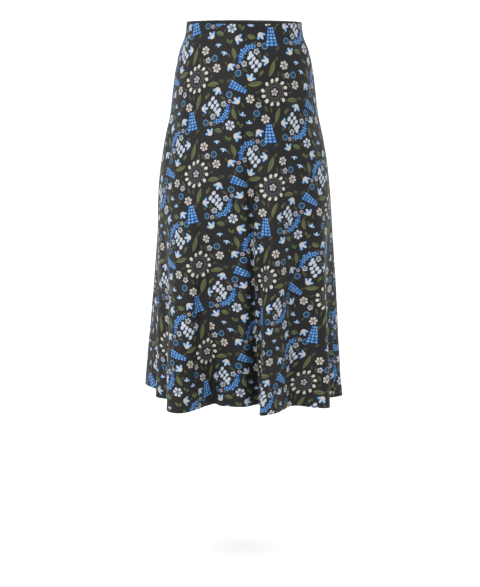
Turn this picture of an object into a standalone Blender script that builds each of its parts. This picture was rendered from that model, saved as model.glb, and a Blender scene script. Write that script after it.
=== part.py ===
"""Flared midi skirt in its worn form, hollow and open at the waist and the hem.

A maker cuts three pieces: a front panel, a back panel and the elastic that is sewn inside the
waist edge.  Both panels are one wall of cloth that follows rings around the body.  The rings are
smooth from the waist over the hips, and below the hips they swing out into hanging folds.

Units are metres.  The origin is the middle of the waist opening, the hem lies towards -Z and the
front of the skirt faces -Y, so the wearer's left is +X.
"""
from collections import namedtuple
import math

import bpy
import numpy as np

# Driving sizes
LENGTH = 0.813              # waist edge to hem, measured straight down
CLOTH = 0.0014             # one layer of the cloth
HEM_CLOTH = 0.0024         # the hem is turned up inside, so it is thicker
HEM_TURN = 0.020           # depth of the turned hem
HEM_STEP = 0.001           # the step from one layer to the turned hem
SEAM_GAP = 0.0003          # between the panels at each side seam
ELASTIC_GAP = 0.0003       # between the elastic and the cloth
ELASTIC_INSET = 0.002      # the elastic starts this far below the waist edge
ELASTIC_DEPTH = 0.032      # lower edge of the elastic, from the waist edge
ELASTIC_THICKNESS = 0.0015

# Mesh density
COLUMNS_PER_FOLD = 4       # columns between two neighbouring rows of the fold table
ROWS = 17                  # rows between the elastic and the hem
ROW_SPREAD = 1.2           # over 1 puts the rows closer together near the waist
PROBE = 0.0005             # step used to measure the cloth's direction

# Rings: how far below the waist, half of the width, and the depth forwards and backwards
Section = namedtuple("Section", "drop half_width front_depth back_depth")
SECTIONS = [
    Section(0.00, 0.1240, 0.090, 0.093),
    Section(0.03, 0.1280, 0.094, 0.100),
    Section(0.06, 0.1395, 0.103, 0.110),
    Section(0.10, 0.1480, 0.114, 0.122),
    Section(0.15, 0.1545, 0.124, 0.136),
    Section(0.20, 0.1610, 0.130, 0.143),
    Section(0.25, 0.1725, 0.137, 0.149),
    Section(0.30, 0.1810, 0.142, 0.152),
    Section(0.40, 0.1905, 0.150, 0.157),
    Section(0.50, 0.1965, 0.157, 0.162),
    Section(0.60, 0.2020, 0.165, 0.168),
    Section(0.70, 0.2080, 0.174, 0.174),
    Section(LENGTH, 0.2150, 0.182, 0.181),
]

# Folds, once around from the right side seam over the front.  The angle is in degrees from the
# centre of the front, positive towards the wearer's left: first where the fold begins, then at
# the hem.  The reach at the hem is a share of the ring there, start is the drop below which the
# fold leaves the smooth ring, and rise is over 1 where it deepens late and under 1 where early.
Fold = namedtuple("Fold", "kind top_angle hem_angle reach start rise")
FOLDS = [
    Fold("seam", -90, -91, 1.02, 0.20, 1.0),
    Fold("valley", -78, -77, 0.83, 0.34, 1.0),
    Fold("ridge", -63, -61, 0.97, 0.34, 1.0),
    Fold("valley", -50, -45, 0.84, 0.40, 1.0),
    Fold("ridge", -38, -29, 1.22, 0.26, 1.2),
    Fold("ridge", -27, -18, 1.17, 0.22, 1.3),
    Fold("valley", -16, -18, 0.64, 0.28, 1.1),
    Fold("ridge", -7, -9, 0.72, 0.26, 1.2),
    Fold("ridge", 5, 12, 0.69, 0.18, 0.8),
    Fold("valley", 11, 30, 0.56, 0.15, 0.60),
    Fold("ridge", 33, 18, 1.10, 0.15, 0.60),
    Fold("ridge", 40, 31, 1.00, 0.20, 0.8),
    Fold("valley", 48, 51, 0.75, 0.20, 0.9),
    Fold("ridge", 66, 62, 1.14, 0.30, 1.2),
    Fold("valley", 79, 80, 0.82, 0.34, 1.4),
    Fold("seam", 90, 91, 0.95, 0.34, 1.0),
    Fold("ridge", 101, 102, 1.03, 0.32, 1.0),
    Fold("valley", 117, 118, 0.78, 0.32, 1.0),
    Fold("ridge", 134, 136, 1.05, 0.28, 1.0),
    Fold("valley", 152, 151, 0.74, 0.22, 0.8),
    Fold("ridge", 166, 166, 1.00, 0.24, 1.0),
    Fold("valley", 182, 184, 0.72, 0.20, 0.8),
    Fold("ridge", 198, 199, 1.03, 0.22, 1.0),
    Fold("valley", 214, 214, 0.76, 0.26, 1.0),
    Fold("ridge", 229, 228, 1.05, 0.30, 1.0),
    Fold("valley", 243, 243, 0.80, 0.28, 1.0),
    Fold("ridge", 258, 257, 1.13, 0.16, 0.9),
]
FOLD_EASE = 0.12           # how softly a fold begins, as a share of its length
FOLD_ROUNDING = 0.36       # how widely a crest is rounded, in rows of the fold table
RIGHT_SEAM, LEFT_SEAM = [row for row, fold in enumerate(FOLDS) if fold.kind == "seam"]
FULL_TURN = 360.0

# Colours and finishes
CLOTH_COLOUR = (0.022, 0.022, 0.027, 1.0)
ELASTIC_COLOUR = (0.012, 0.012, 0.013, 1.0)
CLOTH_ROUGHNESS = 0.82
ELASTIC_ROUGHNESS = 0.70


def clear_scene():
    for item in list(bpy.data.objects):
        bpy.data.objects.remove(item, do_unlink=True)


def section_value(drop, column):
    """One column of the section table at any drop, on a smooth curve through its rows."""
    drops = np.array([section.drop for section in SECTIONS])
    values = np.array([getattr(section, column) for section in SECTIONS])
    slopes = np.gradient(values, drops)
    low = int(np.clip(np.searchsorted(drops, drop, side="right") - 1, 0, len(drops) - 2))
    span = drops[low + 1] - drops[low]
    t = (drop - drops[low]) / span
    return ((2 * t ** 3 - 3 * t ** 2 + 1) * values[low]
            + (t ** 3 - 2 * t ** 2 + t) * span * slopes[low]
            + (3 * t ** 2 - 2 * t ** 3) * values[low + 1]
            + (t ** 3 - t ** 2) * span * slopes[low + 1])


def fold_growth(share, rise):
    """From 0 where the fold starts to 1 at the hem, with a soft start."""
    share = max(share, 0.0)
    full = math.hypot(1.0, FOLD_EASE) - FOLD_EASE
    return ((math.hypot(share, FOLD_EASE) - FOLD_EASE) / full) ** rise


def around_ring(values, turn, places):
    """A smooth closed curve through one value per fold.  turn is what one lap adds."""
    count = len(values)
    first = np.floor(places).astype(int)
    t = places - first

    def value_at(row):
        return values[row % count] + turn * np.floor_divide(row, count)

    before, here = value_at(first - 1), value_at(first)
    after, beyond = value_at(first + 1), value_at(first + 2)
    return 0.5 * (2 * here + (after - before) * t
                  + (2 * before - 5 * here + 4 * after - beyond) * t ** 2
                  + (3 * here - before - 3 * after + beyond) * t ** 3)


def sharp_ring(drop, places):
    """Points through every fold at one drop.  A place counts rows of the fold table."""
    angles, reaches = [], []
    for fold in FOLDS:
        share = (drop - fold.start) / (LENGTH - fold.start)
        along = min(max(share, 0.0), 1.0)
        angles.append(fold.top_angle + (fold.hem_angle - fold.top_angle) * along)
        reaches.append(1.0 + (fold.reach - 1.0) * fold_growth(share, fold.rise))
    angle = np.radians(around_ring(np.array(angles), FULL_TURN, places))
    reach = around_ring(np.array(reaches), 0.0, places)
    forward = np.cos(angle)
    depth = np.where(forward > 0, section_value(drop, "front_depth"), section_value(drop, "back_depth"))
    x = section_value(drop, "half_width") * reach * np.sin(angle)
    y = -depth * reach * forward
    return np.stack([x, y, np.full_like(x, -drop)], axis=-1)


def ring(drop, places):
    """Points of the cloth's outside at one drop, with the crests of the folds rounded."""
    before = sharp_ring(drop, places - FOLD_ROUNDING)
    after = sharp_ring(drop, places + FOLD_ROUNDING)
    return sharp_ring(drop, places) / 2 + (before + after) / 4


def unit(vectors):
    return vectors / np.linalg.norm(vectors, axis=-1, keepdims=True)


def cloth_frame(drop, places):
    """Points of one ring with the direction along it and the direction out of the cloth."""
    points = ring(drop, places)
    along = unit(ring(drop, places + PROBE) - ring(drop, places - PROBE))
    down = ring(drop + PROBE, places) - ring(drop - PROBE, places)
    return points, along, unit(np.cross(down, along))


def row_drops():
    """Drops of the mesh's rows: the elastic's, then the panel's, then the turned hem's."""
    hem_top = LENGTH - HEM_TURN
    panel = [ELASTIC_DEPTH + (hem_top - ELASTIC_DEPTH) * (row / ROWS) ** ROW_SPREAD for row in range(ROWS + 1)]
    return [0.0, ELASTIC_DEPTH / 2] + panel + [hem_top + HEM_STEP, LENGTH]


def wall_at(drop):
    turned = drop > LENGTH - HEM_TURN + HEM_STEP / 2
    return HEM_CLOTH if turned else CLOTH


def add_wall(name, outer, inner, closed, material):
    """A solid wall between two grids of points, as one object.  closed joins its two ends."""
    rows, columns = outer.shape[:2]
    points = np.concatenate([outer.reshape(-1, 3), inner.reshape(-1, 3)])
    skin = rows * columns

    def outside(row, column):
        return row * columns + column % columns

    def inside(row, column):
        return skin + outside(row, column)

    faces = []
    spans = columns if closed else columns - 1
    for row in range(rows - 1):
        for column in range(spans):
            low, high = row + 1, column + 1
            faces.append((outside(row, column), outside(low, column), outside(low, high), outside(row, high)))
            faces.append((inside(row, column), inside(row, high), inside(low, high), inside(low, column)))
    for column in range(spans):
        high, last = column + 1, rows - 1
        faces.append((outside(0, column), outside(0, high), inside(0, high), inside(0, column)))
        faces.append((outside(last, column), inside(last, column), inside(last, high), outside(last, high)))
    if not closed:
        for row in range(rows - 1):
            low, last = row + 1, columns - 1
            faces.append((outside(row, 0), inside(row, 0), inside(low, 0), outside(low, 0)))
            faces.append((outside(row, last), outside(low, last), inside(low, last), inside(row, last)))

    mesh = bpy.data.meshes.new(name)
    mesh.from_pydata([tuple(point) for point in points], [], faces)
    mesh.materials.append(material)
    mesh.shade_smooth()
    mesh.set_sharp_from_angle(angle=math.radians(40))
    mesh.update()
    wall = bpy.data.objects.new(name, mesh)
    bpy.context.collection.objects.link(wall)
    return wall


def add_panel(name, first, last, material):
    """One panel from seam to seam, its edges drawn back by half of the seam's gap."""
    columns = (last - first) * COLUMNS_PER_FOLD + 1
    places = np.linspace(first, last, columns)
    outer, inner = [], []
    for drop in row_drops():
        points, along, out = cloth_frame(drop, places)
        points[0] += along[0] * SEAM_GAP / 2
        points[-1] -= along[-1] * SEAM_GAP / 2
        outer.append(points)
        inner.append(points - out * wall_at(drop))
    return add_wall(name, np.array(outer), np.array(inner), False, material)


def add_waist_elastic(name, material):
    """The closed band of elastic that lies on the inside of both panels at the waist."""
    places = np.arange(0, len(FOLDS), 1 / COLUMNS_PER_FOLD)
    outer, inner = [], []
    for drop in (ELASTIC_INSET, ELASTIC_DEPTH / 2, ELASTIC_DEPTH):
        points, _, out = cloth_frame(drop, places)
        outer.append(points - out * (CLOTH + ELASTIC_GAP))
        inner.append(points - out * (CLOTH + ELASTIC_GAP + ELASTIC_THICKNESS))
    return add_wall(name, np.array(outer), np.array(inner), True, material)


def make_material(name, colour, roughness):
    material = bpy.data.materials.new(name)
    material.use_nodes = True
    shader = material.node_tree.nodes["Principled BSDF"]
    shader.inputs["Base Color"].default_value = colour
    shader.inputs["Roughness"].default_value = roughness
    shader.inputs["Metallic"].default_value = 0.0
    return material


def build_skirt():
    clear_scene()
    front_cloth = make_material("front_cloth", CLOTH_COLOUR, CLOTH_ROUGHNESS)
    back_cloth = make_material("back_cloth", CLOTH_COLOUR, CLOTH_ROUGHNESS)
    elastic = make_material("elastic", ELASTIC_COLOUR, ELASTIC_ROUGHNESS)
    add_panel("front_panel", RIGHT_SEAM, LEFT_SEAM, front_cloth)
    add_panel("back_panel", LEFT_SEAM, len(FOLDS) + RIGHT_SEAM, back_cloth)
    add_waist_elastic("waist_elastic", elastic)


build_skirt()
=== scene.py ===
import math

import bpy
import numpy as np
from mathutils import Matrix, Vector


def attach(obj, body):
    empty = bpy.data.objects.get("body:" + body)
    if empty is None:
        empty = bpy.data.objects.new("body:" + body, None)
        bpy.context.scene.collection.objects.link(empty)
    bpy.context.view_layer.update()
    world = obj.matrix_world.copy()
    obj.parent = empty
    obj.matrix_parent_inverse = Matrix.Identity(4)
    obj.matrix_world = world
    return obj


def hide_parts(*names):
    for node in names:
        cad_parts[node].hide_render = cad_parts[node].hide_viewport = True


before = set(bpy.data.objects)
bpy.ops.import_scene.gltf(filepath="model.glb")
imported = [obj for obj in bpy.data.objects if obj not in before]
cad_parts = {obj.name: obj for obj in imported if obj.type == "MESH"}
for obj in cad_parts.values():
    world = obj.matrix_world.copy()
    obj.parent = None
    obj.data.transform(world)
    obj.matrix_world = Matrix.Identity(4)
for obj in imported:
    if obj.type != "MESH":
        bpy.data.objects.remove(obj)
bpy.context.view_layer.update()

# All lengths are in metres. The waist opening's middle is the origin, the hem lies towards -Z
# and the skirt's front faces -Y.

# Camera, floor and light
studio = {
    "cameraTurn": 13.0,  # degrees round the skirt, towards the wearer's left
    "cameraDistance": 3.9,
    "cameraHeight": 0.18,  # above the waist
    "cameraTilt": 11.16,  # degrees downwards
    "cameraPan": 0.126,  # degrees to the left
    "lens": 111.16,
    "floorDrop": 1.18,  # where the wearer would stand
    "floorColour": (0.86, 0.86, 0.85),
    "floorRoughness": 0.9,
    "worldColour": (1.0, 1.0, 1.0),
    "worldStrength": 1.0,
    "skyStrength": 1.5,  # even light from straight above
    "skyAngle": 50,  # degrees, for soft shadows
    "skyTurn": (4, 0, 0),
    "lightAim": (0, 0, -0.42),
    # name, place, size, watts
    "lights": [
        ("keyLight", (-1.9, -3.7, 1.1), 1.6, 84),
        ("sideLight", (3.5, -1.5, -0.1), 1.6, 12),
    ],
}


def makeCamera():
    turn, away = math.radians(studio["cameraTurn"]), studio["cameraDistance"]
    place = (away * math.sin(turn), -away * math.cos(turn), studio["cameraHeight"])
    bpy.ops.object.camera_add(location=place)
    camera = bpy.context.object
    camera.name = "mainCamera"
    camera.rotation_euler = (math.radians(90 - studio["cameraTilt"]), 0,
                             turn + math.radians(studio["cameraPan"]))
    camera.data.sensor_width = 36
    camera.data.lens = studio["lens"]
    bpy.context.scene.camera = camera


def makeLights():
    for name, place, size, power in studio["lights"]:
        bpy.ops.object.light_add(type="AREA", location=place)
        light = bpy.context.object
        light.name = name
        light.data.size = size
        light.data.energy = power
        towards = Vector(studio["lightAim"]) - Vector(place)
        light.rotation_euler = towards.to_track_quat("-Z", "Y").to_euler()
    bpy.ops.object.light_add(type="SUN", location=(0, 0, 3))
    sky = bpy.context.object
    sky.name = "skyLight"
    sky.data.energy = studio["skyStrength"]
    sky.data.angle = math.radians(studio["skyAngle"])
    sky.rotation_euler = [math.radians(turn) for turn in studio["skyTurn"]]
    world = bpy.data.worlds.new("studioWorld")
    world.use_nodes = True
    background = world.node_tree.nodes["Background"]
    background.inputs["Color"].default_value = (*studio["worldColour"], 1)
    background.inputs["Strength"].default_value = studio["worldStrength"]
    bpy.context.scene.world = world
    bpy.context.scene.view_settings.view_transform = "Standard"


def makeFloor():
    bpy.ops.mesh.primitive_plane_add(size=400, location=(0, 0, -studio["floorDrop"]))
    floor = bpy.context.object
    floor.name = "studioFloor"
    bpy.ops.object.transform_apply(location=True, rotation=True, scale=True)
    material = bpy.data.materials.new("paleFloor")
    material.use_nodes = True
    shader = material.node_tree.nodes["Principled BSDF"]
    shader.inputs["Base Color"].default_value = (*studio["floorColour"], 1)
    shader.inputs["Roughness"].default_value = studio["floorRoughness"]
    floor.data.materials.append(material)
    floor.visible_diffuse = False    # keeps the floor's own light off the cloth


bpy.ops.object.select_all(action="DESELECT")
makeCamera()
makeLights()
makeFloor()
print("stage: camera, light and floor")


# Material expressions
class Field:
    # one value that varies over a surface. Expressions on it add nodes to its tree
    def __init__(self, tree, socket=None):
        self.tree = tree
        self.socket = socket

    def node(self, kind, settings, inputs, output=0):
        made = self.tree.nodes.new("ShaderNode" + kind)
        for key, value in settings.items():
            setattr(made, key, value)
        for key, value in inputs.items():
            if isinstance(value, Field):
                self.tree.links.new(value.socket, made.inputs[key])
            else:
                made.inputs[key].default_value = value
        return Field(self.tree, made.outputs[output])

    def uvPlace(self, layer):
        return self.node("UVMap", {"uv_map": layer}, {})

    def noise(self, scale, detail=2.0, roughness=0.5):
        inputs = {"Vector": self, "Scale": scale, "Detail": detail, "Roughness": roughness}
        return self.node("TexNoise", {}, inputs)

    def math(self, operation, *others):
        return self.node("Math", {"operation": operation}, dict(enumerate((self, *others))))

    def __add__(self, other):
        return self.math("ADD", other)

    def __mul__(self, other):
        return self.math("MULTIPLY", other)

    __radd__, __rmul__ = __add__, __mul__

    def __sub__(self, other):
        return self.math("SUBTRACT", other)

    def __rsub__(self, other):
        return self.node("Math", {"operation": "SUBTRACT"}, {0: other, 1: self})

    def __truediv__(self, other):
        return self.math("DIVIDE", other)

    def __pow__(self, other):
        return self.math("POWER", other)

    def __abs__(self):
        return self.math("ABSOLUTE")

    def __lt__(self, other):
        return self.math("LESS_THAN", other)

    def vector(self, operation, *others, output=0):
        inputs = dict(enumerate((self, *others)))
        return self.node("VectorMath", {"operation": operation}, inputs, output)

    def offMiddle(self):
        # how far the value is from the middle of its unit step, 0 to 0.5
        return abs(self.math("FRACT") - 0.5)

    def dot(self, other):
        return self.vector("DOT_PRODUCT", other, output=1)

    def parts(self):
        split = self.node("SeparateXYZ", {}, {0: self}).socket.node
        return Field(self.tree, split.outputs[0]), Field(self.tree, split.outputs[1])

    def soften(self, low, high, start=0.0, end=1.0):
        # smoothly from start to end as the value goes from low to high
        return self.node("MapRange", {"interpolation_type": "SMOOTHSTEP"},
                         {0: self, 1: low, 2: high, 3: start, 4: end})

    def under(self, edge, soft):
        # 1 below an edge, which is a number or a field, and 0 above it
        if isinstance(edge, Field):
            return (self - edge).soften(-soft, soft, 1.0, 0.0)
        return self.soften(edge - soft, edge + soft, 1.0, 0.0)

    def blend(self, one, other):
        # from one colour to the other as this value goes from 0 to 1
        return self.node("Mix", {"data_type": "RGBA"}, {0: self, 6: one, 7: other}, 2)


def screenColour(red, green, blue):
    # a colour from 0 to 255 as the eye sees it, made linear
    return tuple(((c / 255 + 0.055) / 1.055) ** 2.4 if c > 10 else c / 255 / 12.92
                 for c in (red, green, blue)) + (1.0,)


def newMaterial(name, roughness):
    material = bpy.data.materials.new(name)
    material.use_nodes = True
    shader = material.node_tree.nodes["Principled BSDF"]
    shader.inputs["Roughness"].default_value = roughness
    return material, shader, Field(material.node_tree)


def dress(shader, colour, relief=None):
    # gives a shader its colour, and a fine relief of a strength, a distance and a height
    colour.tree.links.new(colour.socket, shader.inputs["Base Color"])
    if relief:
        bump = colour.node("Bump", {}, dict(zip(("Strength", "Distance", "Height"), relief)))
        colour.tree.links.new(bump.socket, shader.inputs["Normal"])


# The printed cloth
inks = {
    "ground": (26, 25, 27), "shadow": (16, 24, 40), "cream": (194, 187, 180),
    "petalWhite": (184, 194, 206), "petalGrey": (156, 164, 168), "dotGrey": (196, 195, 186),
    "blush": (178, 168, 172), "paleBlue": (132, 168, 206), "skyBlue": (94, 158, 218),
    "midBlue": (50, 110, 186), "deepBlue": (24, 52, 98), "ringBlue": (84, 128, 158),
    "teal": (20, 62, 98), "navy": (16, 32, 54), "olive": (80, 88, 52), "oliveLight": (104, 110, 72),
    "moss": (70, 74, 48), "green": (74, 96, 48), "bark": (62, 58, 44), "taupe": (112, 112, 108),
    "stem": (46, 50, 36),
}
dyeDepth = 0.80  # under the bright studio light


def deepened(colour, share):
    return tuple(c * share for c in colour[:3]) + (1.0,)


inks = {name: deepened(screenColour(*ink), dyeDepth) for name, ink in inks.items()}

# The print repeats in both directions. Places are in millimetres from the middle of a wreath,
# across and up, angles in degrees anticlockwise. Sizes are a motif's length and width.
repeatAcross = (171.8, -21.4)
repeatUp = (-5.1, 193.2)
wreathPlace = (-80.5, -106.9)  # one wreath, from the middle of the front at the waist edge

# Around each wreath
besideWreath = {
    "bloom": [
        ((47, 20.5), 18, 18, 20), ((-50.5, -18), 18, 18, 200), ((18, 56), 18, 18, 50),
        ((-18, -56), 18, 18, 230)
    ],
    "starlet": [((26, 36.5), 12.5, 12.5, 15), ((-33, -29), 12.5, 12.5, 195)],
    "ringlet": [((41, 40), 14, 14, 0), ((-36.5, -46), 14, 14, 180)],
    "fleur": [
        ((62, 50), 14, 14, -15), ((-66, -50), 15, 15, 165), ((47.5, 66), 13, 13, 0),
        ((-51.5, -66), 13.5, 13.5, 180)
    ],
    "leaf": [
        ((8, -46), 34, 8.5, 75), ((-8, 46), 36, 9, 255), ((40.5, -11.5), 27, 9.5, 8),
        ((-41.5, 13), 31, 9.5, 194), ((27, -36.5), 12, 5.5, 55), ((-30, 35.5), 14, 6, 230)
    ],
    "darkLeaf": [
        ((31, 19), 15, 5.5, -45), ((17, 35), 15, 5.5, -60), ((61, -6), 9, 4.5, 40),
        ((74, -5), 10, 4, 70), ((-1, -66.5), 11, 5.5, 65), ((-6.5, -37), 12, 4, 100),
        ((57, -4), 9, 3.5, 30), ((1.5, 87), 12, 5, 40), ((-41, -58), 9, 4.5, 60),
        ((24, -70), 9, 4, 20), ((68, 30), 10, 4, 130), ((-66, -31), 11, 4.5, 120),
        ((-30, 62), 10, 4, 150), ((36, 4), 10, 3.5, 30), ((-31, -19), 15, 5.5, 135),
        ((-17, -35), 15, 5.5, 120), ((-61, 6), 9, 4.5, 220), ((-77, 4), 10, 4, 250),
        ((1, 66.5), 11, 5.5, 245), ((6.5, 37), 12, 4, 280), ((-36, -4), 10, 3.5, 210)
    ],
}
# In each bouquet, which lies around bouquetPlace and, turned by half a turn, opposite it
bouquetPlace = (58, -68)
bouquet = {
    "oval": [
        ((41.3, -40), 11, 7.8, 50), ((47.8, -46.9), 10.2, 7.6, 50), ((34.1, -50.1), 12.2, 7.6, 62),
        ((40.6, -55.9), 11.4, 8.2, 66), ((52.5, -53.7), 9.8, 7.2, 45),
        ((47.1, -61.7), 10.4, 6.8, 60), ((56.8, -63.5), 10.8, 7.8, 60),
        ((51.3, -67.6), 9.4, 6.8, 35), ((54.8, -72.2), 9.4, 6.4, 65)
    ],
    "bell": [
        ((50.8, -26), 19.5, 19.5, -22), ((24, -60), 18.5, 18.5, 95), ((93, -43.2), 18.5, 18.5, 219),
        ((34.5, -107.1), 18.5, 18.5, 218)
    ],
    "starlet": [((66.2, -51), 12.5, 12.5, 0), ((42.4, -76.5), 13, 13, 30)],
    "ringlet": [((77.6, -32.2), 14, 14, 0), ((26, -88.5), 13.5, 13.5, 0)],
    "smallRing": [((79.2, -45.2), 8.5, 8.5, 0), ((38, -90.4), 9, 9, 0)],
    "leaf": [((89.3, -70.4), 24, 8.5, 108), ((55, -105), 18, 9.5, -12)],
    "darkLeaf": [
        ((64, -39), 13, 5.5, 150), ((35, -68), 10, 5, 60), ((31.5, -31), 8, 4.5, 130),
        ((99, -66.5), 10, 4.5, 120), ((88, -56), 8, 3.5, 70), ((20, -73), 9, 4, 160),
        ((66, -99), 8, 3.5, 60), ((47, -93), 9, 4, 10)
    ],
}
# Motifs that stand once in each repeat
spike = ((95.5, -17.6), 38, 18.5, -24)
tallSpike = ((-8.5, -84.5), 34, 26, 98)
spikeBlocks = {"pitch": 6.4, "columns": 3, "middleWidth": 0.75, "taper": 0.56}
cornerPlace = (88, -106)
corner = {
    "bloom": [((80.5, -94), 20.5, 20.5, 15)],
    "bell": [((97, -116), 20, 20, 72)],
    "darkLeaf": [
        ((73.5, -119.5), 10, 5.5, 128), ((80, -121.5), 10, 5.5, 58), ((97.5, -89.5), 10, 5, 115),
        ((104, -94), 11, 5.5, 50)
    ],
}
sprigPlace = (76, -4)
sprig = [(sprigPlace, 11, 5, 30), ((86, 2), 9, 4, 110)]
arc = {
    "middle": (46.5, -58), "radius": 28.5, "start": -96, "end": 14, "width": 13.5,
    "pitch": 5.4, "columns": 3, "middleWidth": 1.12, "taper": 0.62,
}
# The wreath itself: an oval, slightly turned, and the radii of what it is made of
ring = {
    "turn": 52, "longer": 1.05, "shorter": 0.93, "dots": 12, "dotRadius": 24.6, "dotSize": 12.0,
    "dotPitchRadius": 25, "unevenTurn": 0.24, "unevenRadius": 2.4,
    "twigRadius": 20.6, "dashRadius": 18.4, "shadeRadius": 12.6, "threadRadius": 13.2,
    "flowerRadius": 7.6,
}


class Print:
    # draws the repeat, motif by motif, each over the colour so far. Radii inside a motif are shares
    # of its half length, and each edge comes with how softly it fades
    def __init__(self, field, uv):
        self.field = field
        (ax, ay), (ux, uy) = repeatAcross, repeatUp
        size = (ax * uy - ay * ux) / 1000
        place = uv.vector("SUBTRACT", (wreathPlace[0] / 1000, wreathPlace[1] / 1000, 0))
        self.repeats = field.node("CombineXYZ", {}, {0: place.dot((uy / size, -ux / size, 0)),
                                                     1: place.dot((-ay / size, ax / size, 0))})
        self.colour = None

    def around(self, place):
        # millimetres from the nearest repeat of a place
        (ax, ay), (ux, uy) = repeatAcross, repeatUp
        size = ax * uy - ay * ux
        u = (place[0] * uy - place[1] * ux) / size
        v = (place[1] * ax - place[0] * ay) / size
        wrapped = self.repeats.vector("WRAP", (u + 0.5, v + 0.5, 1), (u - 0.5, v - 0.5, -1))
        x, y = wrapped.dot((ax, ux, 0)), wrapped.dot((ay, uy, 0))
        return self.field.node("CombineXYZ", {}, {0: x, 1: y, 2: 1.0})

    def turned(self, here, place, angle, length, width):
        # across and up from a place, after a turn, in halves of a length and a width.
        # Dot products alone, and z is 1, so that a whole table of motifs stays quick to draw
        along, beside = math.cos(math.radians(angle)), math.sin(math.radians(angle))
        x = (along, beside, -along * place[0] - beside * place[1])
        y = (-beside, along, beside * place[0] - along * place[1])
        return here.dot([2 * v / length for v in x]), here.dot([2 * v / width for v in y])

    def nearest(self, here, motifs):
        # place within the nearest motif, 1 at the ends of its length and width
        best = None
        for place, length, width, angle in motifs:
            x, y = self.turned(here, place, angle, length, width)
            away = x * x + y * y
            if best is None:
                best, nearX, nearY = away, x, y
            else:
                closer = away < best
                nearX = nearX.node("Mix", {"data_type": "FLOAT"}, {0: closer, 2: nearX, 3: x})
                nearY = nearY.node("Mix", {"data_type": "FLOAT"}, {0: closer, 2: nearY, 3: y})
                best = best.math("MINIMUM", away)
        return nearX, nearY, best ** 0.5

    def paint(self, mask, ink):
        self.colour = mask.blend(self.colour, ink)

    def random(self, seed):
        return self.field.node("TexWhiteNoise", {"noise_dimensions": "1D"}, {1: seed}, 0)

    def petals(self, x, y, r, count, gap):
        # round-ended petals, parted by dark lines of one width. share is 0 along a petal's middle
        share = (y.math("ARCTAN2", x) * (count / math.tau)).offMiddle()
        beside = (0.5 - share) * (math.tau / count) * r
        edge = 1 - 1.3 * share ** 2
        return r.under(edge, 0.05) * beside.soften(gap * 0.5, gap)

    def bloom(self, here, motifs, petals, petalInk, heartInk):
        x, y, r = self.nearest(here, motifs)
        self.paint(self.petals(x, y, r, petals, 0.12) * (1 - r.under(0.25, 0.05)), petalInk)
        self.paint(r.under(0.12, 0.05), heartInk)

    def starlet(self, here, motifs):
        # five pale petals round a dark star
        x, y, r = self.nearest(here, motifs)
        lobe = abs((y.math("ARCTAN2", x) * 2.5).math("COSINE"))
        petals = r.under(0.70 + 0.30 * lobe, 0.06)
        self.paint(petals, inks["petalGrey"])
        self.paint(petals * y.soften(-0.2, 0.9) * 0.7, inks["petalWhite"])
        self.paint(r.under(0.30 + 0.34 * (1 - lobe), 0.08), inks["navy"])
        self.paint(r.under(0.17, 0.06), inks["petalGrey"])

    def ringlet(self, here, motifs):
        # a scalloped ring round a dark middle
        x, y, r = self.nearest(here, motifs)
        lobe = abs((y.math("ARCTAN2", x) * 4).math("COSINE"))
        self.paint(r.under(0.86 + 0.14 * lobe, 0.05), inks["ringBlue"])
        self.paint(r.under(0.68, 0.08), inks["navy"])
        self.paint(r.under(0.46, 0.10), inks["teal"])

    def smallRing(self, here, motifs):
        x, y, r = self.nearest(here, motifs)
        dashes = (y.math("ARCTAN2", x) * (6 / math.tau)).offMiddle()
        self.paint(abs(r - 0.66).under(0.26, 0.08) * (1 - dashes.under(0.12, 0.05)), inks["blush"])
        self.paint(r.under(0.16, 0.08), inks["ringBlue"])

    def fan(self, x, down, size):
        # three pointed petals that open downwards, on a dark ground of their own
        turn = x.math("ARCTAN2", down)
        reach = (x * x + down * down) ** 0.5 / size
        lobe = abs((turn * 3).math("COSINE")) ** 1.1
        self.paint(reach.under(1.02, 0.10) * abs(turn).under(1.75, 0.10) * 0.75, inks["shadow"])
        body = reach.under(0.42 + 0.58 * lobe, 0.07) * abs(turn).under(1.5, 0.08)
        self.paint(body, inks["paleBlue"])
        self.paint(body * reach.soften(0.55, 0.95) * abs(turn).soften(0.3, 0.7) * 0.75, inks["skyBlue"])
        heart = body * abs(turn).under(0.26, 0.12) + body * reach.under(0.34, 0.10)
        self.paint(heart, inks["petalWhite"])

    def fleur(self, here, motifs):
        x, y = self.nearest(here, motifs)[:2]
        self.fan(x, 0.40 - y, 1.12)

    def leaf(self, here, motifs, ink, lightInk):
        # a slightly bent leaf, lighter on one side, with a dark rib. side is 1 and -1 at its edges
        x, y = self.nearest(here, motifs)[:2]
        side = (y + 0.18 * x * x - 0.09) / (1.02 - x * x).math("MAXIMUM", 0.001) ** 0.9
        inside = abs(side).under(1.0, 0.10) * abs(x).under(0.99, 0.02)
        self.paint(inside, ink)
        self.paint(inside * side.soften(-0.2, 0.8) * 0.7, lightInk)
        self.paint(inside * abs(side).under(0.07, 0.07) * 0.7, inks["stem"])

    def oval(self, here, motifs):
        x, y, r = self.nearest(here, motifs)
        inside = r.under(0.92, 0.10)
        self.paint(inside, inks["petalWhite"])
        self.paint(inside * x.soften(0.2, 1.0) * 0.5, inks["paleBlue"])

    def bell(self, here, motifs):
        # a crescent cap over a fan of three petals
        x, y = self.nearest(here, motifs)[:2]
        self.fan(x, 0.46 - y, 1.20)
        outer = (x * x + (y - 0.25) * (y - 0.25)) ** 0.5
        inner = (x * x + (y + 0.04) * (y + 0.04)) ** 0.5
        cap = outer.under(0.65, 0.05) * (1 - inner.under(0.50, 0.06)) * y.soften(0.12, 0.28)
        self.paint(cap, inks["cream"])
        self.paint(cap * abs(abs(x) - 0.24).under(0.03, 0.05) * 0.6, inks["blush"])

    def blocks(self, along, across, pitch, columns, brick, width, half):
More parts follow.
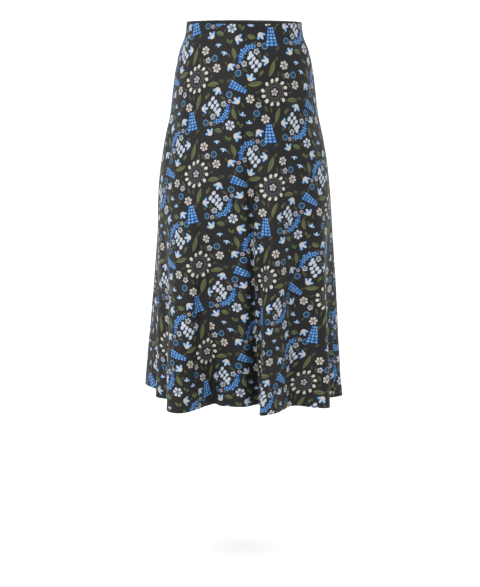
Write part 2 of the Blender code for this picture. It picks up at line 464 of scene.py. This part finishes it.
        # rows of rounded blocks, each its own shade. width gives a row's width, brick moves every
        # other row sideways, and half is half of the whole length
        row = (along / pitch).math("FLOOR")
        middle = (row + 0.5) * pitch
        odd = (row * 0.5).math("FRACT") * (2 * brick)
        column = across / width(middle) * columns + columns / 2 + odd
        step = column.math("FLOOR")
        shade = self.random(row * 7.3 + step * 1.9)
        inside = abs(step + (0.5 - columns / 2) - odd).under(columns / 2 - 0.1, 0.01) \
            * abs(middle).under(half, 0.01)
        u, v = (along / pitch).offMiddle() * 2, column.offMiddle() * 2
        away = u ** 2.6 + v ** 2.6
        self.paint(inside * away.under(1.5, 0.4) * 0.9, inks["deepBlue"])
        self.paint(inside * away.under(0.52, 0.20), shade.blend(inks["midBlue"], inks["skyBlue"]))
        self.paint(inside * away.under(0.14, 0.14) * shade.soften(0.35, 0.8) * 0.8, inks["paleBlue"])

    def spike(self, motif):
        # narrower towards its tip
        place, length, width, angle = motif
        x, y = self.nearest(self.around(place), [motif])[:2]
        widest, taper = spikeBlocks["middleWidth"], spikeBlocks["taper"] / length
        self.blocks(x * (length / 2), y * (width / 2), spikeBlocks["pitch"], spikeBlocks["columns"], 0,
                    lambda middle: width * (widest - middle * taper), length / 2)

    def arcOfBlocks(self, here):
        # a curved spray of blocks below the bouquet, round its own middle
        local = here.vector("SUBTRACT", (*arc["middle"], 1))
        x, y = local.parts()
        middle = math.radians((arc["start"] + arc["end"]) / 2)
        half = math.radians((arc["end"] - arc["start"]) / 2) * arc["radius"]
        along = (y.math("ARCTAN2", x) - middle) * arc["radius"]
        widest, taper = arc["middleWidth"], arc["taper"]
        reach = local.vector("LENGTH", output=1)
        self.blocks(along, reach - arc["radius"], arc["pitch"], arc["columns"], 0.5,
                    lambda middle: arc["width"] * (widest - taper * (middle / half) ** 2), half)

    def wreath(self, here):
        # uneven dots, then twigs, dashes and a flower inside them. turn counts the dots
        x, y = self.turned(here, (0, 0), ring["turn"], 2 * ring["longer"], 2 * ring["shorter"])
        r = (x * x + y * y) ** 0.5
        turn = y.math("ARCTAN2", x) * (ring["dots"] / math.tau)
        uneven = self.random((turn + 0.5).math("FLOOR")) - 0.5
        sway = (turn + 0.5).math("FRACT") - 0.5 + uneven * ring["unevenTurn"]
        sideways = sway * (math.tau * ring["dotPitchRadius"] / ring["dots"])
        outwards = r - ring["dotRadius"] + uneven * ring["unevenRadius"] + 0.22 * sideways
        twigs = (turn * 1.5 + 0.2).offMiddle().under(0.30, 0.1)
        self.paint(abs(r - ring["twigRadius"]).under(1.3, 0.6) * twigs * 0.8, inks["moss"])
        dots = (outwards * outwards * 0.75 + sideways * sideways).under(ring["dotSize"], 2.5)
        self.paint(dots, inks["dotGrey"])
        dashes = (turn * 1.5).offMiddle().under(0.30, 0.08)
        self.paint(abs(r - ring["dashRadius"]).under(0.9, 0.6) * dashes * 0.7, inks["taupe"])
        self.paint(abs(r - ring["shadeRadius"]).under(3.2, 1.0) * 0.55, inks["shadow"])
        threads = (turn * 4).offMiddle().under(0.22, 0.10)
        self.paint(abs(r - ring["threadRadius"]).under(1.9, 0.5) * threads * 0.6, inks["taupe"])
        r = r / ring["flowerRadius"]
        self.paint(self.petals(x, y, r, 5, 0.14) * (1 - r.under(0.22, 0.06)), inks["blush"])
        self.paint(r.under(0.12, 0.06), inks["cream"])

    def draw(self, ground):
        self.colour = ground
        wreath = self.around((0, 0))
        self.leaf(wreath, besideWreath["darkLeaf"], inks["moss"], inks["stem"])
        self.leaf(wreath, besideWreath["leaf"], inks["olive"], inks["oliveLight"])
        self.fleur(wreath, besideWreath["fleur"])
        self.bloom(wreath, besideWreath["bloom"], 6, inks["cream"], inks["dotGrey"])
        self.starlet(wreath, besideWreath["starlet"])
        self.ringlet(wreath, besideWreath["ringlet"])
        self.wreath(wreath)
        # the nearer of the two opposite bouquets, turned the same way round
        upright = self.around(bouquetPlace)
        turned = self.around((-bouquetPlace[0], -bouquetPlace[1])).vector("MULTIPLY", (-1, -1, 1))
        toOne = upright.vector("DISTANCE", (*bouquetPlace, 1), output=1)
        toOther = turned.vector("DISTANCE", (*bouquetPlace, 1), output=1)
        here = upright.node("Mix", {"data_type": "VECTOR"},
                            {0: toOther < toOne, 4: upright, 5: turned}, 1)
        self.leaf(here, bouquet["darkLeaf"], inks["moss"], inks["bark"])
        self.leaf(here, bouquet["leaf"], inks["olive"], inks["oliveLight"])
        self.arcOfBlocks(here)
        self.bell(here, bouquet["bell"])
        self.smallRing(here, bouquet["smallRing"])
        self.ringlet(here, bouquet["ringlet"])
        self.starlet(here, bouquet["starlet"])
        self.oval(here, bouquet["oval"])
        self.spike(spike)
        self.spike(tallSpike)
        here = self.around(cornerPlace)
        self.leaf(here, corner["darkLeaf"], inks["green"], inks["olive"])
        self.bloom(here, corner["bloom"], 6, inks["petalWhite"], inks["paleBlue"])
        self.bell(here, corner["bell"])
        self.leaf(self.around(sprigPlace), sprig, inks["moss"], inks["stem"])
        return self.colour


def clothMaterial():
    material, shader, field = newMaterial("printedCrepe", 0.62)
    uv = field.uvPlace("Cut")
    ground = uv.noise(260.0).blend(deepened(inks["ground"], 0.82), deepened(inks["ground"], 1.18))
    colour = Print(field, uv).draw(ground)
    # the reverse is plain, with a little of the print showing through
    reverse = field.node("Attribute", {"attribute_name": "reverse"}, {}, 2)
    colour = (reverse * 0.78).blend(colour, screenColour(52, 51, 54))
    dress(shader, colour, (0.35, 0.0004, uv.noise(1500.0, roughness=0.6)))
    shader.inputs["Sheen Weight"].default_value = 0.05
    shader.inputs["Sheen Roughness"].default_value = 0.5
    shader.inputs["Specular IOR Level"].default_value = 0.18
    return material


# The form of the skirt
skirt = {
    "length": 0.813,
    "cloth": 0.0010,  # one layer
    "hemCloth": 0.0019,  # the turned hem
    "hemTurn": 0.020,
    "hemRows": (0.0012, 0.005, 0.009, 0.013, 0.0165, 0.0188),  # below the top of the turned hem
    "edgeRows": (0, 0.0003, 0.0012),  # rows at the rounded edges of the waist and the hem
    "edgeShares": (0.32, 0.10, 0),  # how far each face draws back there, as a share of the wall
    "foldEase": 0.12,  # how gently a fold begins
    "foldRounding": 0.36,  # how far a fold is smoothed, in rows of the fold table
    "rows": 178,
    "frontColumns": 15,  # columns between two rows of the fold table
    "backColumns": 19,
    "cutRadius": 0.575,  # inner radius of the cut panels, a sector of a ring
    "cutDrop": (0.957, 0.055),  # length along the cloth per drop, and per its square
}
# The side seams: how the cloth lies beside them
seam = {
    "columns": (0.012, 0.026, 0.045),  # close to the seam, in rows of the fold table
    "calm": 0.032,  # the creases die away within this
    "dip": 0.0008,  # how deep a seam draws the cloth in
    "width": 0.0026,
    "dipAtWaist": 0.2,  # share of the dip over the elastic
    "dipFrom": 0.033,  # the full dip begins below the elastic
    "dipRun": 0.02,
}
# Where the two faces and the four edges of a panel lie on its square for baking
bakePlan = {
    "across": (0.01, 0.99),
    "outside": (0.22, 0.77),  # lower end and height
    "inside": (0.01, 0.19),
    "waistEdge": (0.2050, 0.2080), "hemEdge": (0.2120, 0.2150),
    "firstSeam": (0.0010, 0.0040), "lastSeam": (0.9960, 0.9990),
}
# How far below the waist, half of the width, and the depth forwards and backwards
sections = np.array([
    (0.00, 0.1240, 0.090, 0.093), (0.03, 0.1280, 0.094, 0.100), (0.06, 0.1395, 0.103, 0.110),
    (0.10, 0.1480, 0.114, 0.122), (0.15, 0.1545, 0.124, 0.136), (0.20, 0.1610, 0.130, 0.143),
    (0.25, 0.1725, 0.137, 0.149), (0.30, 0.1810, 0.142, 0.152), (0.40, 0.1905, 0.150, 0.157),
    (0.50, 0.1965, 0.157, 0.162), (0.60, 0.2020, 0.165, 0.168), (0.70, 0.2080, 0.174, 0.174),
    (0.813, 0.2150, 0.182, 0.181),
])
# The folds, once round from the right side seam over the front: angle from the middle of the
# front where the fold begins and at the hem, reach at the hem, drop where it starts, and rise
folds = np.array([
    (-90, -91, 1.02, 0.20, 1.0), (-78, -77, 0.83, 0.34, 1.0), (-63, -61, 0.97, 0.34, 1.0),
    (-50, -45, 0.84, 0.40, 1.0), (-38, -29, 1.22, 0.26, 1.2), (-27, -18, 1.17, 0.22, 1.3),
    (-16, -18, 0.64, 0.28, 1.1), (-7, -9, 0.72, 0.26, 1.2), (5, 12, 0.69, 0.18, 0.8),
    (11, 30, 0.56, 0.15, 0.60), (33, 18, 1.10, 0.15, 0.60), (40, 31, 1.00, 0.20, 0.8),
    (48, 51, 0.75, 0.20, 0.9), (66, 62, 1.14, 0.30, 1.2), (79, 80, 0.82, 0.34, 1.4),
    (90, 91, 0.95, 0.34, 1.0), (101, 102, 1.03, 0.32, 1.0), (117, 118, 0.78, 0.32, 1.0),
    (134, 136, 1.05, 0.28, 1.0), (152, 151, 0.74, 0.22, 0.8), (166, 166, 1.00, 0.24, 1.0),
    (182, 184, 0.72, 0.20, 0.8), (198, 199, 1.03, 0.22, 1.0), (214, 214, 0.76, 0.26, 1.0),
    (229, 228, 1.05, 0.30, 1.0), (243, 243, 0.80, 0.28, 1.0), (258, 257, 1.13, 0.16, 0.9),
])
rightSeam, leftSeam, oneLap = 0, 15, 27


def sectionValue(drop, column):
    # a column of the section table at any drop, by a smooth curve through its values
    drops, values = sections[:, 0], sections[:, column]
    slopes = np.gradient(values, drops)
    low = int(np.clip(np.searchsorted(drops, drop, side="right") - 1, 0, len(drops) - 2))
    span = drops[low + 1] - drops[low]
    t = (drop - drops[low]) / span
    return ((2 * t ** 3 - 3 * t ** 2 + 1) * values[low] + (t ** 3 - 2 * t ** 2 + t) * span * slopes[low]
            + (3 * t ** 2 - 2 * t ** 3) * values[low + 1] + (t ** 3 - t ** 2) * span * slopes[low + 1])


def aroundRing(values, turn, places):
    # a column of the fold table at any place round the skirt, which adds turn with each lap
    first = np.floor(places).astype(int)
    t = places - first
    before, here, after, beyond = (values[row % oneLap] + turn * np.floor_divide(row, oneLap)
                                   for row in (first - 1, first, first + 1, first + 2))
    return 0.5 * (2 * here + (after - before) * t + (2 * before - 5 * here + 4 * after - beyond) * t ** 2
                  + (3 * here - before - 3 * after + beyond) * t ** 3)


def sharpRing(drop, places):
    # points once round the skirt at a drop, at places counted in rows of the fold table
    top, hem, reach, start, rise = folds.T
    share = (drop - start) / (skirt["length"] - start)
    ease = skirt["foldEase"]
    growth = (np.hypot(np.maximum(share, 0), ease) - ease) / (math.hypot(1, ease) - ease)
    angle = np.radians(aroundRing(top + (hem - top) * np.clip(share, 0, 1), 360.0, places))
    out = aroundRing(1 + (reach - 1) * growth ** rise, 0.0, places)
    forward = np.cos(angle)
    depth = np.where(forward > 0, sectionValue(drop, 2), sectionValue(drop, 3))
    x = sectionValue(drop, 1) * out * np.sin(angle)
    return np.stack([x, -depth * out * forward, np.full_like(x, -drop)], axis=-1)


def smoothRing(drop, places):
    # the same with the folds' crests and hollows rounded
    wide = skirt["foldRounding"]
    return (sharpRing(drop, places) / 2
            + (sharpRing(drop, places - wide) + sharpRing(drop, places + wide)) / 4)


def unit(vectors):
    return vectors / np.linalg.norm(vectors, axis=-1, keepdims=True)


def outwards(points):
    # direction out of a grid of points, rows downwards and columns to the wearer's left
    down = np.gradient(points, axis=0)
    along = np.gradient(points, axis=1)
    return unit(np.cross(down, along))


def rowDrops():
    # how far below the waist edge each row of a panel lies
    hemTop = skirt["length"] - skirt["hemTurn"]
    main = np.linspace(0, hemTop, skirt["rows"])[1:]
    turned = [hemTop + step for step in skirt["hemRows"]]
    end = [skirt["length"] - skirt["edgeRows"][1], skirt["length"]]
    return np.concatenate([skirt["edgeRows"], main, turned, end])


def isTurned(drops):
    # whether rows belong to the turned hem
    return drops > skirt["length"] - skirt["hemTurn"] + skirt["hemRows"][0] / 2


def roundEdges(drops, wall):
    # how far both faces of the wall draw together at the waist's and the hem's edges
    edge = np.minimum(drops, skirt["length"] - drops)
    return wall * np.interp(edge, skirt["edgeRows"], skirt["edgeShares"])


def alongRing(points):
    # how far along its row each point lies, from the middle as it is near the hips, in metres
    steps = np.linalg.norm(np.diff(points, axis=1), axis=-1)
    along = np.concatenate([np.zeros((len(points), 1)), np.cumsum(steps, axis=1)], axis=1)
    sign = 1 if points[0, 0, 0] < points[0, -1, 0] else -1
    x = sign * points[len(points) // 8, :, 0]
    for row in along:
        row -= np.interp(0, x, row)
    return along


def cutPlace(points, along):
    # where each point of a panel lies on the flat cut, across and up from its top middle
    drop = -points[:, :, 2]
    first, second = skirt["cutDrop"]
    angle = along / (skirt["cutRadius"] + drop)
    radius = skirt["cutRadius"] + first * drop + second * drop ** 2
    return np.stack([radius * np.sin(angle), skirt["cutRadius"] - radius * np.cos(angle)], axis=-1)


# Soft creases pressed into each panel, in millimetres. Each has a width and a path of points:
# how far below the waist, how far along from the middle, and how high it stands out
creases = {
    "frontCloth": [
        (13, [(110, 8, 0), (200, 16, 5), (290, 23, 8), (450, 30, 9), (645, 28, 8), (778, 26, 3)]),
        (14, [(250, 56, 0), (365, 63, 6), (450, 65, 8), (645, 67, 9), (778, 73, 6)]),
        (17, [(200, 130, 0), (280, 144, -2), (365, 171, -2), (480, 196, -2), (573, 214, -2),
              (663, 236, -2), (745, 268, -2), (813, 290, -1)]),
        (19, [(270, 165, 0), (365, 203, 2), (453, 236, 2), (538, 256, 2), (625, 286, 2), (713, 313, 2),
              (800, 336, 1)]),
        (10, [(330, -44, 0), (430, -46, 4), (610, -51, 6), (680, -56, 6), (740, -62, 3), (795, -70, 0)]),
        (9, [(500, -22, 0), (640, -25, -5), (710, -29, -5), (790, -44, -2)]),
        (11, [(380, -70, 0), (490, -71, -4), (560, -70, -5), (620, -79, -5), (690, -92, -4),
              (795, -107, 0)]),
        (10, [(120, -118, 0), (220, -122, 1.5), (330, -128, 0)]),
        (14, [(60, 92, 0), (150, 100, -1.5), (240, 112, 0)]),
        (16, [(420, -150, 0), (560, -166, 3), (700, -186, 4), (805, -200, 2)]),
    ],
    "backCloth": [
        (14, [(150, -70, 0), (300, -82, 5), (500, -100, 7), (700, -118, 6), (800, -124, 3)]),
        (11, [(260, -30, 0), (420, -34, -4), (620, -40, -6), (795, -46, -2)]),
        (15, [(220, 36, 0), (380, 44, 5), (560, 52, 7), (760, 60, 3)]),
        (11, [(330, 96, 0), (480, 106, -5), (640, 118, -6), (800, 130, -2)]),
        (16, [(380, 160, 0), (540, 176, 5), (700, 196, 6), (805, 206, 3)]),
        (12, [(420, -180, 0), (560, -196, -4), (700, -214, -5), (800, -226, -2)]),
    ],
}
# The cloth's own slight waver: millimetres across, millimetres down, phase, height
waver = [(61, 410, 0.3, 0.45), (38, 290, 2.1, 0.28), (97, 530, 4.0, 0.7), (27, 190, 5.2, 0.12)]


def easedPath(drops, path, column):
    # a path's value at each drop, eased from point to point
    marks, values = [point[0] for point in path], [point[column] for point in path]
    low = np.clip(np.searchsorted(marks, drops, side="right") - 1, 0, len(marks) - 2)
    marks, values = np.array(marks, float), np.array(values, float)
    t = np.clip((drops - marks[low]) / (marks[low + 1] - marks[low]), 0, 1)
    if column == 2:
        t = t * t * (3 - 2 * t)
    return values[low] + (values[low + 1] - values[low]) * t


def creaseHeight(name, drop, along):
    # how far out of its smooth form the cloth stands, from metres to metres
    drop, along = drop * 1000, along * 1000
    height = np.zeros_like(along)
    for width, path in creases[name]:
        away = along - easedPath(drop, path, 1)
        height += easedPath(drop, path, 2) * np.exp(-(away / width) ** 2)
    calm = np.clip((drop - 50) / 160, 0, 1)
    for across, down, phase, tall in waver:
        bend = 0.35 * np.sin(drop / down * 3 + phase)
        height += calm * tall * np.sin(math.tau * (along / across + bend) + phase)
    return height / 1000


def makeForm(name, first, last, columnsPerFold):
    # a panel's outer face, row by row. Columns stand close together beside the side seams
    close = np.array(seam["columns"])
    middle = np.linspace(first, last, (last - first) * columnsPerFold + 1)[1:-1]
    places = np.concatenate([[first], first + close, middle, last - close[::-1], [last]])
    drops = rowDrops()
    outer = np.array([smoothRing(drop, places) for drop in drops])
    along = alongRing(outer)
    flat = cutPlace(outer, along)
    # the creases die away towards the side seams, and a slight furrow follows each seam
    drop = -outer[:, :, 2]
    beside = np.minimum(abs(along - along[:, :1]), abs(along - along[:, -1:]))
    nearSeam = np.clip(beside / seam["calm"], 0, 1)
    height = creaseHeight(name, drop, along) * nearSeam ** 2 * (3 - 2 * nearSeam)
    belowElastic = np.clip((drop - seam["dipFrom"]) / seam["dipRun"], 0, 1)
    dip = seam["dip"] * (seam["dipAtWaist"] + (1 - seam["dipAtWaist"]) * belowElastic)
    height -= dip * np.clip(1 - beside / seam["width"], 0, 1) ** 1.6
    outer += outwards(outer) * height[:, :, None]
    return {"outer": outer, "out": outwards(outer), "along": along, "drops": drops, "flat": flat}


def meshPiece(name, points, faces, material, layers, sharpEdge=60):
    # layers: for each UV layer, the place of every corner of every face. sharpEdge is in degrees
    mesh = bpy.data.meshes.new(name)
    mesh.from_pydata(np.asarray(points).tolist(), [], [[int(k) for k in face] for face in faces])
    for layer, corners in layers.items():
        corners = np.array(corners, dtype=np.float32).ravel()
        mesh.uv_layers.new(name=layer).uv.foreach_set("vector", corners)
    mesh.materials.append(material)
    mesh.shade_smooth()
    mesh.set_sharp_from_angle(angle=math.radians(sharpEdge))
    mesh.update()
    piece = bpy.data.objects.new(name, mesh)
    bpy.context.collection.objects.link(piece)
    return piece


forwards, backwards = (0, 1, 2, 3), (0, 3, 2, 1)  # a face's corners, either way round


def makePanel(name, form, material):
    drops, flat, out = form["drops"], form["flat"], form["out"]
    rows, columns = flat.shape[:2]
    turned = isTurned(drops)
    wall = np.where(turned, skirt["hemCloth"], skirt["cloth"])
    drawn = roundEdges(drops, wall)[:, None, None]
    outer = form["outer"] - out * drawn
    inner = form["outer"] - out * (wall[:, None, None] - drawn)
    # outside first, then inside. The hem's and the waist's edges join the two
    points = np.concatenate([outer.reshape(-1, 3), inner.reshape(-1, 3)])
    outside = np.arange(rows * columns).reshape(rows, columns)
    inside = outside + rows * columns
    faces, cut, bake, side = [], [], [], []
    u = np.linspace(*bakePlan["across"], columns)
    vOut, vIn = (low + tall * (1 - drops / drops[-1])
                 for low, tall in (bakePlan["outside"], bakePlan["inside"]))
    hemIn = flat.copy()
    hemIn[:, :, 1] = 2 * flat[-1:, :, 1] - flat[:, :, 1]

    def addFace(corners, flatCorners, bakeCorners, reverse, order):
        faces.append([corners[k] for k in order])
        cut.extend(flatCorners[k] for k in order)
        bake.extend(bakeCorners[k] for k in order)
        side.append(reverse)

    def addEdge(line, outSpots, inSpots, order):
        # joins the outside to the inside along a line of points
        for k in range(len(line) - 1):
            a, b = line[k], line[k + 1]
            addFace([outside[a], outside[b], inside[b], inside[a]],
                    [flat[a], flat[b], flat[b], flat[a]],
                    [outSpots[k], outSpots[k + 1], inSpots[k + 1], inSpots[k]], 0.0, order)

    for row in range(rows - 1):
        inCut = hemIn if turned[row] else flat
        for column in range(columns - 1):
            spots = [(row, column), (row + 1, column), (row + 1, column + 1), (row, column + 1)]
            addFace([outside[k] for k in spots], [flat[k] for k in spots],
                    [(u[k[1]], vOut[k[0]]) for k in spots], 0.0, forwards)
            addFace([inside[k] for k in spots], [inCut[k] for k in spots],
                    [(u[k[1]], vIn[k[0]]) for k in spots], 0.0 if turned[row] else 1.0, backwards)
    for row, edge, order in ((0, "waistEdge", forwards), (rows - 1, "hemEdge", backwards)):
        low, high = bakePlan[edge]
        addEdge([(row, column) for column in range(columns)],
                [(across, high) for across in u], [(across, low) for across in u], order)
    for column, edge, order in ((0, "firstSeam", backwards), (columns - 1, "lastSeam", forwards)):
        low, high = bakePlan[edge]
        addEdge([(row, column) for row in range(rows)],
                [(low, up) for up in vOut], [(high, up) for up in vOut], order)
    panel = meshPiece(name, points, faces, material, {"Cut": cut, "OFBake": bake}, sharpEdge=50)
    panel.data.attributes.new("reverse", "FLOAT", "FACE").data.foreach_set("value", side)
    return panel


crepe = clothMaterial()
front = makeForm("frontCloth", rightSeam, leftSeam, skirt["frontColumns"])
back = makeForm("backCloth", leftSeam, oneLap, skirt["backColumns"])
frontCloth = makePanel("frontCloth", front, crepe)
backCloth = makePanel("backCloth", back, crepe)
print("cloth: two panels")


# Elastic and sewing
elastic = {
    "top": 0.002, "bottom": 0.032,  # below the waist edge
    "outside": 0.0013, "inside": 0.0028,  # in from the cloth's outer face
    "corner": 0.0004,  # how far its corners are rounded off
    "ribs": 7, "ribHeight": 0.00035,
    "selvedge": 0.0008,  # plain strip beside the outer ribs
    "round": 0.69, "columns": 324,
}
sewing = {
    "thread": 0.0004,  # thickness
    "pitch": 0.0034, "stitch": 0.0026,  # from one hem stitch to the next, and a stitch's length
    "margin": 0.004,  # without stitches beside the side seams
    "upperDrop": 0.0062, "lowerDrop": 0.0278, "swing": 0.0013, "lift": 0.0002,  # the zigzags
}
# The overlocked allowance's section: out from the seam, and in from the cloth's outer face
allowance = np.array([(0.0003, 0.0012), (0.0030, 0.00125), (0.0076, 0.00125), (0.0083, 0.0017),
                      (0.0076, 0.0025), (0.0030, 0.0023), (0.0006, 0.0021)])
allowanceTop, allowanceGap = 0.034, 0.001  # below the waist edge and above the turned hem


def sweptBand(name, loops, material, closed, starts, across):
    # loops: for each station, a closed loop of points. starts and across: where the stations and
    # the points of a loop lie on the flat
    stations, around = loops.shape[:2]
    step = starts[1] - starts[0]
    faces, corners = [], []
    for station in range(stations if closed else stations - 1):
        here, beyond = station * around, (station + 1) % stations * around
        low, high = starts[station], starts[station] + step
        for k in range(around):
            n = (k + 1) % around
            faces.append((here + k, here + n, beyond + n, beyond + k))
            corners += [(low, across[k]), (low, across[n]), (high, across[n]), (high, across[k])]
    if not closed:
        faces.append(tuple(range(around))[::-1])
        faces.append(tuple((stations - 1) * around + k for k in range(around)))
        corners += [(0, 0)] * (2 * around)
    return meshPiece(name, loops.reshape(-1, 3), faces, material, {"Flat": corners})


def elasticMaterial():
    material, shader, field = newMaterial("wovenElastic", 0.72)
    uv = field.uvPlace("Flat")
    along, across = uv.parts()
    cord = (along * (math.tau / 0.0011)).math("SINE")
    weft = (across * (math.tau / 0.0009)).math("SINE")
    colour = uv.noise(900.0).blend(screenColour(18, 18, 20), screenColour(44, 44, 47))
    dress(shader, colour, (0.6, 0.0002, cord * weft + cord * 0.6))
    shader.inputs["Sheen Weight"].default_value = 0.1
    return material


def threadMaterial():
    material, shader, field = newMaterial("spunThread", 0.55)
    twist = field.node("TexCoord", {}, {}, 3).noise(2600.0, detail=1.0)
    dress(shader, twist.blend(screenColour(20, 20, 23), screenColour(52, 52, 56)))
    return material


def edgeMaterial():
    # the overlocked edge of a seam: the cloth's reverse under slanting threads
    material, shader, field = newMaterial("overlockedCrepe", 0.7)
    uv = field.uvPlace("Flat")
    along, across = uv.parts()
    threads = ((along + across * 0.5) * (math.tau / 0.0017)).math("SINE")
    covered = threads.soften(-0.3, 0.4) * across.soften(0.0022, 0.0030)
    grain = uv.noise(1500.0)
    cloth = grain.blend(screenColour(44, 43, 46), screenColour(66, 65, 68))
    dress(shader, covered.blend(cloth, screenColour(24, 24, 27)), (0.7, 0.0003, covered + grain * 0.3))
    return material


def ringInside(drop, places, depth):
    # points once round the skirt at a drop, in from the cloth's outer face, and the way out
    three = np.array([np.concatenate([ring[-1:], ring, ring[:1]])
                      for ring in (smoothRing(drop + step, places) for step in (-0.001, 0, 0.001))])
    out = outwards(three)[1]
    return (three[1] - out * depth)[1:-1], out[1:-1]


def makeElastic():
    top, bottom, corner = elastic["top"], elastic["bottom"], elastic["corner"]
    outside, inside = elastic["outside"], elastic["inside"]
    hollow, slant = inside - elastic["ribHeight"], outside + 0.0003
    # once round the band's section: how far below the waist edge and in from the cloth's face
    profile = [(top, slant), (top + corner, outside), ((top + bottom) / 2, outside),
               (bottom - corner, outside), (bottom, slant), (bottom, inside - corner)]
    pitch = (bottom - top - 2 * elastic["selvedge"]) / elastic["ribs"]
    for rib in range(elastic["ribs"]):
        start = bottom - elastic["selvedge"] - rib * pitch
        profile += [(start, hollow), (start - pitch * 0.25, inside), (start - pitch * 0.75, inside)]
    profile += [(top + elastic["selvedge"], hollow), (top, inside - corner)]
    places = np.linspace(rightSeam, oneLap, elastic["columns"], endpoint=False)
    loops = np.stack([ringInside(drop, places, depth)[0] for drop, depth in profile], axis=1)
    step = elastic["round"] / elastic["columns"]
    starts = [k * step for k in range(elastic["columns"])]
    across = [drop for drop, depth in profile]
    return sweptBand("waistElastic", loops, elasticMaterial(), True, starts, across)


def onRow(form, row, along, depth):
    # points on a panel, along one of its rows and in from its outer face, and the way out
    across = form["along"][row]
    point, out = (np.stack([np.interp(along, across, form[grid][row, :, k]) for k in range(3)], axis=-1)
                  for grid in ("outer", "out"))
    return point - out * depth, out


def makeStitches(name, starts, ends, out):
    # short threads that sink in at both ends. Each has ten points: one, four, four and one
    thick = sewing["thread"]
    along = unit(ends - starts)
    beside = unit(np.cross(out, along))
    rise = unit(np.cross(along, beside))
    around = ((1, 0), (0, 1), (-1, 0), (0, -1))
    rings = []
    tip = ((0, 0),)
    for share, section, lift in ((0, tip, -0.5), (0.22, around, 0.2), (0.78, around, 0.2), (1, tip, -0.5)):
        middle = starts + (ends - starts) * share + rise * (lift * thick)
        for s, t in section:
            rings.append(middle + (beside * s + rise * t) * (thick / 2))
    points = np.stack(rings, axis=1).reshape(-1, 3)
    faces = []
    for first in range(0, len(points), len(rings)):
        for k in range(4):
            n = (k + 1) % 4
            faces.append((first, first + 1 + n, first + 1 + k))
            faces.append((first + 1 + k, first + 1 + n, first + 5 + n, first + 5 + k))
            faces.append((first + 9, first + 5 + k, first + 5 + n))
    return meshPiece(name, points, faces, thread, {})


def hemStitches(name, form, inside):
    # one row of even stitches through both layers at the top of the turned hem
    row = int(np.argmax(isTurned(form["drops"])))
    depth = skirt["hemCloth"] if inside else 0
    first, last = form["along"][row, 0], form["along"][row, -1]
    marks = np.arange(first + sewing["margin"], last - sewing["margin"], sewing["pitch"])
    starts, out = onRow(form, row, marks, depth)
    ends, out = onRow(form, row, marks + sewing["stitch"], depth)
    return makeStitches(name, starts, ends, -out if inside else out)


def zigzag(name, drop):
    # a zigzag on the elastic's inner face
    count = 2 * int(elastic["round"] / sewing["pitch"])
    places = np.linspace(rightSeam, oneLap, count, endpoint=False)
    depth = elastic["inside"] + sewing["lift"]
    upper, out = ringInside(drop - sewing["swing"], places, depth)
    lower, out = ringInside(drop + sewing["swing"], places, depth)
    line = np.where((np.arange(count) % 2 == 1)[:, None], upper, lower)
    return makeStitches(name, line, np.roll(line, -1, axis=0), -out)


def seamEdge(name, form, column, towards):
    # both seam allowances overlocked together and laid on a panel
    bottom = skirt["length"] - skirt["hemTurn"] - allowanceGap
    rows = [row for row, drop in enumerate(form["drops"]) if allowanceTop < drop < bottom]
    beside, depth = allowance.T
    loops = [onRow(form, row, form["along"][row, column] + towards * beside, depth[:, None])[0]
             for row in rows]
    return sweptBand(name, np.array(loops), overlocked, False, form["drops"][rows], beside)


thread = threadMaterial()
overlocked = edgeMaterial()
waistElastic = makeElastic()
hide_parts("waist_elastic")
elasticSewing = [zigzag("upperZigzag", sewing["upperDrop"]), zigzag("lowerZigzag", sewing["lowerDrop"])]
print("elastic: band and zigzags")

backSewing = [hemStitches("backHemStitches", back, False), hemStitches("backHemInside", back, True),
              seamEdge("leftSeamEdge", back, 0, 1), seamEdge("rightSeamEdge", back, -1, -1)]
frontSewing = [hemStitches("frontHemStitches", front, False), hemStitches("frontHemInside", front, True)]
for piece in (waistElastic, *elasticSewing, *backSewing, *frontSewing):
    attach(piece, "root")
for cloth, node, flat, area, sewn in (
    (frontCloth, "front_panel", (0.88, 0.845), 0.480, frontSewing),
    (backCloth, "back_panel", (0.73, 0.845), 0.448, backSewing),
):
    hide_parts(node)
    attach(cloth, "root")
print("sewing: side seams and hem")
